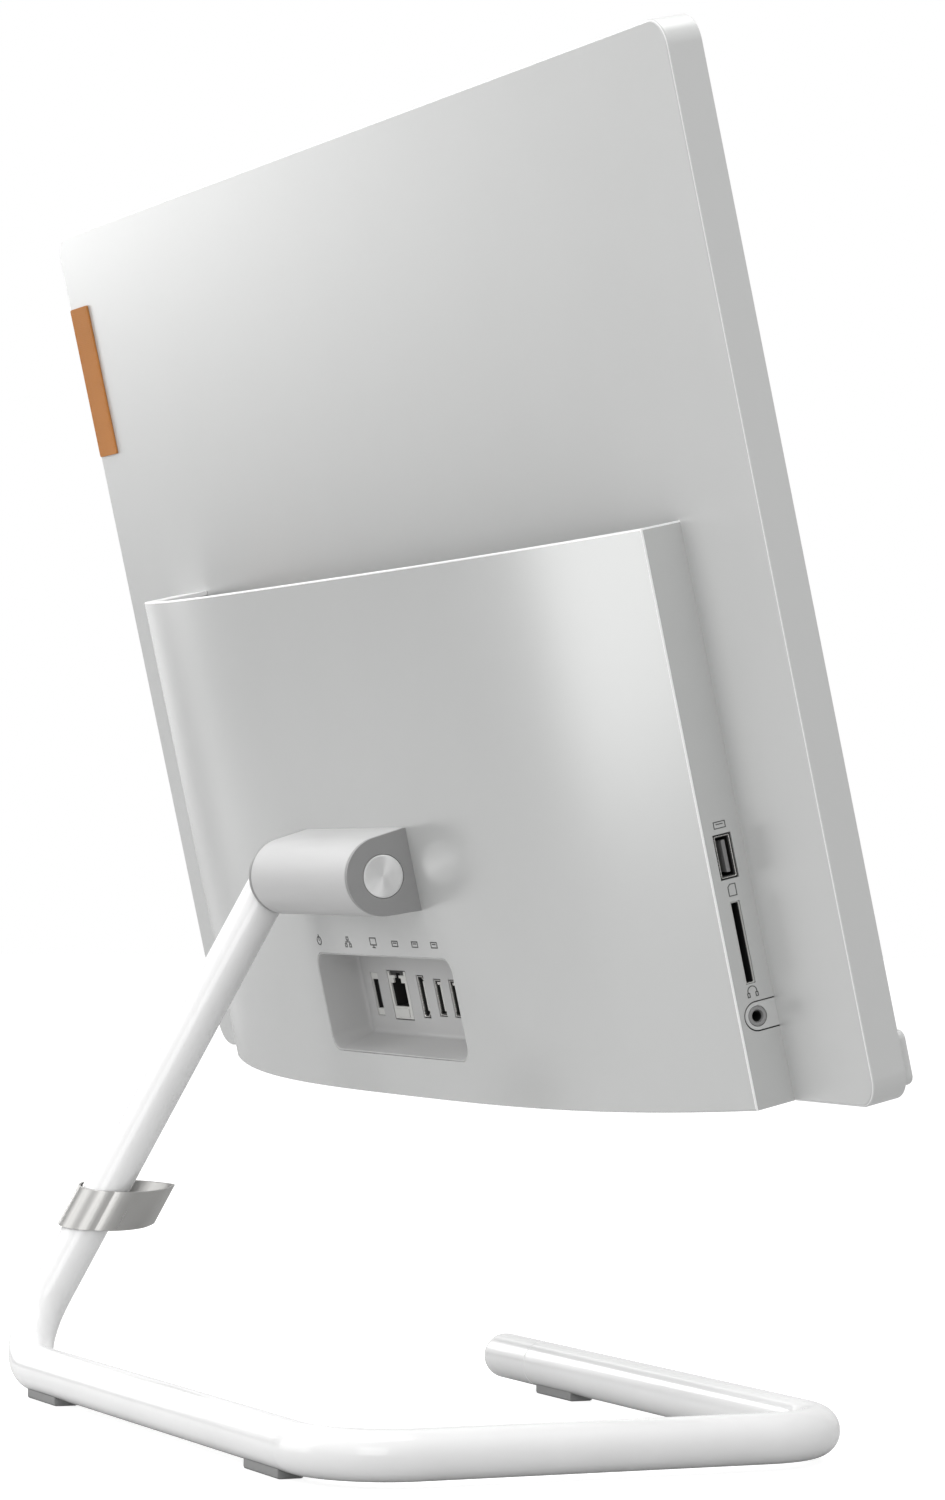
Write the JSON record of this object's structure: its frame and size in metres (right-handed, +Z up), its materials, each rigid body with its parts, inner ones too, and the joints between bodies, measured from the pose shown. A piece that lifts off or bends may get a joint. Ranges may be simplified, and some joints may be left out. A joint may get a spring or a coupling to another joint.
{
  "type": "all in one pc",
  "caption": "All in one desktop computer: thin display with a bulged rear electronics housing, tilting on a friction hinge on a single bent tube stand with a cable clip.",
  "frame": {"origin": "bottom centre of the bounding box, on the floor under the middle of the display", "axes": "+Z up, the screen faces -Y, +X is to the right of a person who faces the screen; the side sockets are on -X"},
  "size_m": [0.541, 0.1919, 0.4475],
  "materials": {
    "cover_white": "satin moulded plastic",
    "bezel_black": "fine matte",
    "chin_white": "satin",
    "screen_glass": "anti-glare coated",
    "tray_metal": "stamped",
    "chin_bar_white": "satin",
    "speaker_cloth": "woven acoustic cloth",
    "chassis_steel": "zinc plated",
    "speaker_black": "moulded",
    "board_green": "solder mask",
    "lens_glass": "coated",
    "shutter_black": "fine matte",
    "key_metal": "satin anodised",
    "housing_silver": "satin painted plastic",
    "vent_grey": "moulded",
    "tray_silver": "fine spark texture",
    "socket_black": "moulded",
    "socket_steel": "plated",
    "lid_metal": "nickel plated",
    "chip_black": "moulded",
    "drive_metal": "cast and stamped",
    "copper": "drawn copper",
    "fan_black": "moulded",
    "hinge_silver": "satin painted",
    "hinge_grey": "matte",
    "spun_aluminium": "circular brushed",
    "hinge_steel": "machined",
    "tube_white": "gloss powder coat",
    "plug_white": "gloss",
    "clip_steel": "long brushed spring steel",
    "tag_tan": "woven label, blank",
    "screw_steel": "zinc plated",
    "foot_rubber": "matte"
  },
  "bodies": {
    "stand": {"stand_tube": "tube_white", "tube_end_cap": "plug_white", "leg_top_plug": "plug_white", "hinge_shaft": "hinge_steel", "shaft_nut": "spun_aluminium", "rubber_foot_1": "foot_rubber", "rubber_foot_2": "foot_rubber", "rubber_foot_3": "foot_rubber", "rubber_foot_4": "foot_rubber"},
    "display": {"backlight_tray": "tray_metal", "blower_case": "fan_black", "card_reader": "socket_steel", "chassis_plate": "chassis_steel", "chin_bar": "chin_bar_white", "chin_panel": "chin_white", "coin_cell": "lid_metal", "dc_in_jack": "socket_black", "friction_sleeve": "hinge_steel", "front_bezel": "bezel_black", "hard_drive": "drive_metal", "hdmi_port": "socket_steel", "headset_jack": "socket_black", "headset_panel": "cover_white", "heat_pipe": "copper", "heatsink_fins": "copper", "hinge_bracket": "chassis_steel", "hinge_cover": "hinge_silver", "hinge_end_cap": "spun_aluminium", "hinge_end_plate_left": "hinge_grey", "hinge_end_plate_right": "hinge_grey", "hinge_screw_1": "screw_steel", "hinge_screw_2": "screw_steel", "hinge_screw_3": "screw_steel", "hinge_screw_4": "screw_steel", "io_tray": "tray_silver", "lan_jack": "socket_steel", "main_board": "board_green", "memory_module": "board_green", "processor": "lid_metal", "rear_cover": "cover_white", "rear_housing": "housing_silver", "rear_tag": "tag_tan", "screen_glass": "screen_glass", "side_usb_port": "socket_steel", "socket_board": "board_green", "solid_state_drive": "chip_black", "speaker_cloth": "speaker_cloth", "speaker_left": "speaker_black", "speaker_right": "speaker_black", "top_vent_grille": "vent_grey", "usb_port_1": "socket_steel", "usb_port_2": "socket_steel", "usb_port_3": "socket_steel", "webcam_board": "board_green", "webcam_lens": "lens_glass", "wireless_card": "lid_metal"},
    "fan_rotor": {"blower_rotor": "fan_black"},
    "power_key": {"power_button": "key_metal"},
    "camera_shutter": {"webcam_shutter": "shutter_black"},
    "cable_clip_body": {"cable_clip": "clip_steel"}
  },
  "joints": [
    {"name": "display_tilt", "type": "hinge", "parent": "stand", "child": "display", "pos_m": [0, -0.01047, 0.184], "axis": [-1, 0, 0], "range_deg": [-18.4, 6.6]},
    {"name": "fan_spin", "type": "hinge", "parent": "display", "child": "fan_rotor", "pos_m": [0.112, -0.03527, 0.23956], "axis": [0, 0.9728, -0.2317], "continuous": true},
    {"name": "power_press", "type": "slide", "parent": "display", "child": "power_key", "axis": [0, 0.2317, 0.9728], "range_m": [0, 0.0007], "stiffness_N_per_m": 700, "springref_m": -0.0008},
    {"name": "shutter_slide", "type": "slide", "parent": "display", "child": "camera_shutter", "axis": [-1, 0, 0], "range_m": [0, 0.009]},
    {"name": "clip_slide", "type": "slide", "parent": "stand", "child": "cable_clip_body", "axis": [0, -0.4924, 0.8704], "range_m": [-0.02, 0.06]}
  ]
}
